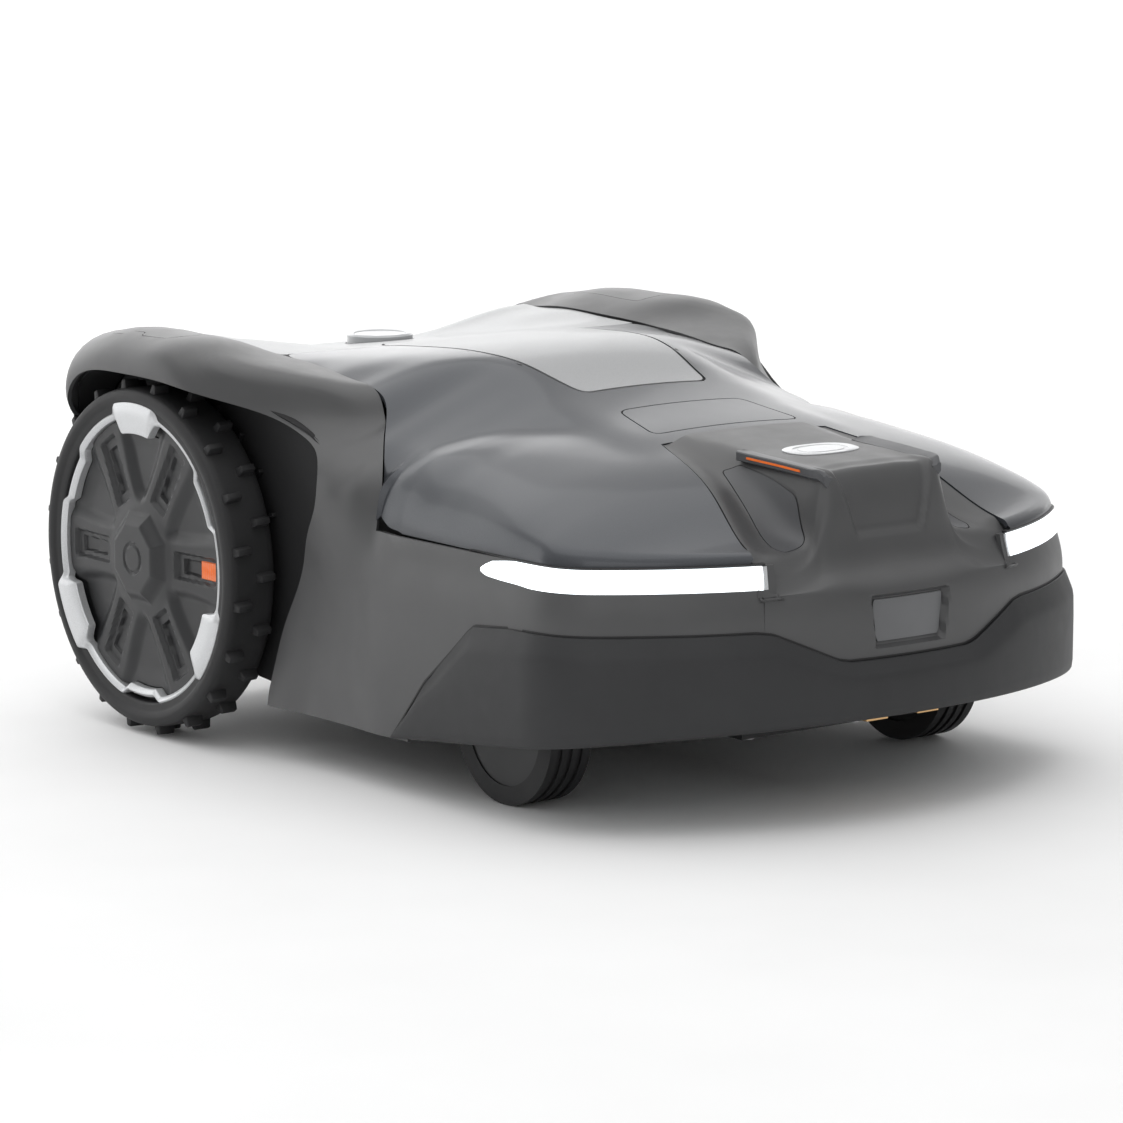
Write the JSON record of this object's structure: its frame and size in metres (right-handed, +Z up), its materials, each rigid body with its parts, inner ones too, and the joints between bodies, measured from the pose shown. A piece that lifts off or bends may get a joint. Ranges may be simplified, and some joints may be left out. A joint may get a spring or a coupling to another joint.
{
  "type": "robotic lawn mower",
  "caption": "Low four-wheeled robotic mower: floating shell with hatch, lights and bumper over a chassis with driven wheels, casters and a bladed cutting disc.",
  "frame": {"origin": "on the ground, under the middle of the bounding box", "axes": "+Z up, -Y is the direction of travel (front). Left and right in node and joint names are as seen from in front of the machine, so _right nodes are at +X and _left nodes at -X"},
  "size_m": [0.56, 0.73, 0.31],
  "materials": {
    "shell_plastic": "matte moulded plastic, fine grain",
    "cover_gloss": "glossy metallic grey lacquer on plastic",
    "hatch_satin": "satin metallic grey",
    "nose_trim": "satin dark grey",
    "accent_orange": "orange, glossy",
    "sensor_plastic": "satin grey",
    "bumper_rubber": "matte charcoal rubber",
    "lamp_lens": "diffusing clear plastic",
    "circuit_board": "solder mask green",
    "stop_button": "satin grey, bright rim",
    "keypad_black": "matte black",
    "chassis_plastic": "glass filled black plastic",
    "battery_wrap": "shrink wrap",
    "gearbox_grey": "die cast",
    "steel": "turned steel",
    "blade_steel": "hardened steel",
    "disc_plastic": "dark grey plastic",
    "contact_copper": "plated",
    "wheel_plastic": "satin dark grey",
    "tyre_rubber": "black rubber",
    "trim_silver": "silver satin paint"
  },
  "bodies": {
    "chassis": {"chassis_tub": "chassis_plastic", "chassis_lid": "chassis_plastic", "battery_cover": "chassis_plastic", "battery_pack": "battery_wrap", "main_board": "circuit_board", "drive_gearbox_left": "gearbox_grey", "drive_gearbox_right": "gearbox_grey", "guide_rods": "steel", "height_actuator": "chassis_plastic", "suspension_rails": "steel", "chassis_screws": "steel"},
    "suspension": {"suspension_frame": "chassis_plastic"},
    "shell": {"body_shell": "shell_plastic", "top_cover": "cover_gloss", "badge_plate": "cover_gloss", "nose_cover": "shell_plastic", "nose_trims": "nose_trim", "nose_plate": "nose_trim", "accent_strips": "accent_orange", "sensor_window": "sensor_plastic", "front_bumper": "bumper_rubber", "light_lens_left": "lamp_lens", "light_lens_right": "lamp_lens", "light_boards": "circuit_board", "rear_deck": "hatch_satin", "fender_caps": "shell_plastic", "keypad_tray": "keypad_black", "hatch_pin": "steel", "charging_contacts": "contact_copper"},
    "hatch_lid": {"hatch": "hatch_satin"},
    "stop": {"stop_button": "stop_button"},
    "start": {"start_key": "keypad_black"},
    "home": {"home_key": "keypad_black"},
    "switch": {"power_switch": "keypad_black"},
    "carriage": {"motor_carriage": "chassis_plastic", "blade_motor": "gearbox_grey"},
    "disc": {"cutting_disc": "disc_plastic", "disc_screws": "steel"},
    "skid": {"skid_plate": "disc_plastic"},
    "blade_a": {"blade_1": "blade_steel"},
    "blade_b": {"blade_2": "blade_steel"},
    "blade_c": {"blade_3": "blade_steel"},
    "wheel_right": {"wheel_rim_right": "wheel_plastic", "tyre_right": "tyre_rubber", "trim_ring_right": "trim_silver", "hub_cap_right": "wheel_plastic", "reflector_right": "accent_orange", "axle_shaft_right": "steel"},
    "caster_right": {"caster_arm_right": "wheel_plastic"},
    "caster_wheel_right": {"caster_hub_right": "wheel_plastic", "caster_tyre_right": "tyre_rubber"},
    "wheel_left": {"wheel_rim_left": "wheel_plastic", "tyre_left": "tyre_rubber", "trim_ring_left": "trim_silver", "hub_cap_left": "wheel_plastic", "reflector_left": "accent_orange", "axle_shaft_left": "steel"},
    "caster_left": {"caster_arm_left": "wheel_plastic"},
    "caster_wheel_left": {"caster_hub_left": "wheel_plastic", "caster_tyre_left": "tyre_rubber"}
  },
  "joints": [
    {"name": "shell_bump", "type": "slide", "parent": "chassis", "child": "suspension", "axis": [0, 1, 0], "range_m": [-0.008, 0.008], "stiffness_N_per_m": 2500},
    {"name": "shell_lift", "type": "slide", "parent": "suspension", "child": "shell", "axis": [0, 0, 1], "range_m": [0, 0.008]},
    {"name": "hatch_hinge", "type": "hinge", "parent": "shell", "child": "hatch_lid", "pos_m": [0, -0.048, 0.2742], "axis": [1, 0, 0], "range_deg": [0, 35]},
    {"name": "stop_press", "type": "slide", "parent": "shell", "child": "stop", "axis": [0, 0, -1], "range_m": [0, 0.006], "stiffness_N_per_m": 500},
    {"name": "start_press", "type": "slide", "parent": "shell", "child": "start", "axis": [0, 0, -1], "range_m": [0, 0.0015], "stiffness_N_per_m": 400},
    {"name": "home_press", "type": "slide", "parent": "shell", "child": "home", "axis": [0, 0, -1], "range_m": [0, 0.0015], "stiffness_N_per_m": 400},
    {"name": "power_rocker", "type": "hinge", "parent": "chassis", "child": "switch", "pos_m": [0.12, 0.296, 0.047], "axis": [1, 0, 0], "range_deg": [0, 10]},
    {"name": "height_slide", "type": "slide", "parent": "chassis", "child": "carriage", "axis": [0, 0, 1], "range_m": [0, 0.04]},
    {"name": "disc_spin", "type": "hinge", "parent": "carriage", "child": "disc", "pos_m": [0, 0.028, 0.025], "axis": [0, 0, 1], "continuous": true},
    {"name": "skid_spin", "type": "hinge", "parent": "disc", "child": "skid", "pos_m": [0, 0.028, 0.015], "axis": [0, 0, 1], "continuous": true},
    {"name": "blade_pivot_1", "type": "hinge", "parent": "disc", "child": "blade_a", "pos_m": [0, 0.118, 0.0227], "axis": [0, 0, 1], "continuous": true},
    {"name": "blade_pivot_2", "type": "hinge", "parent": "disc", "child": "blade_b", "pos_m": [-0.07794, -0.017, 0.0227], "axis": [0, 0, 1], "continuous": true},
    {"name": "blade_pivot_3", "type": "hinge", "parent": "disc", "child": "blade_c", "pos_m": [0.07794, -0.017, 0.0227], "axis": [0, 0, 1], "continuous": true},
    {"name": "wheel_spin_right", "type": "hinge", "parent": "chassis", "child": "wheel_right", "pos_m": [0.26, 0.227, 0.138], "axis": [1, 0, 0], "continuous": true},
    {"name": "caster_swivel_right", "type": "hinge", "parent": "chassis", "child": "caster_right", "pos_m": [0.158, -0.16, 0.135], "axis": [0, 0, 1], "continuous": true},
    {"name": "caster_roll_right", "type": "hinge", "parent": "caster_right", "child": "caster_wheel_right", "pos_m": [0.187, -0.149, 0.056], "axis": [1, 0, 0], "continuous": true},
    {"name": "wheel_spin_left", "type": "hinge", "parent": "chassis", "child": "wheel_left", "pos_m": [-0.26, 0.227, 0.138], "axis": [1, 0, 0], "continuous": true},
    {"name": "caster_swivel_left", "type": "hinge", "parent": "chassis", "child": "caster_left", "pos_m": [-0.158, -0.16, 0.135], "axis": [0, 0, 1], "continuous": true},
    {"name": "caster_roll_left", "type": "hinge", "parent": "caster_left", "child": "caster_wheel_left", "pos_m": [-0.187, -0.149, 0.056], "axis": [1, 0, 0], "continuous": true}
  ]
}
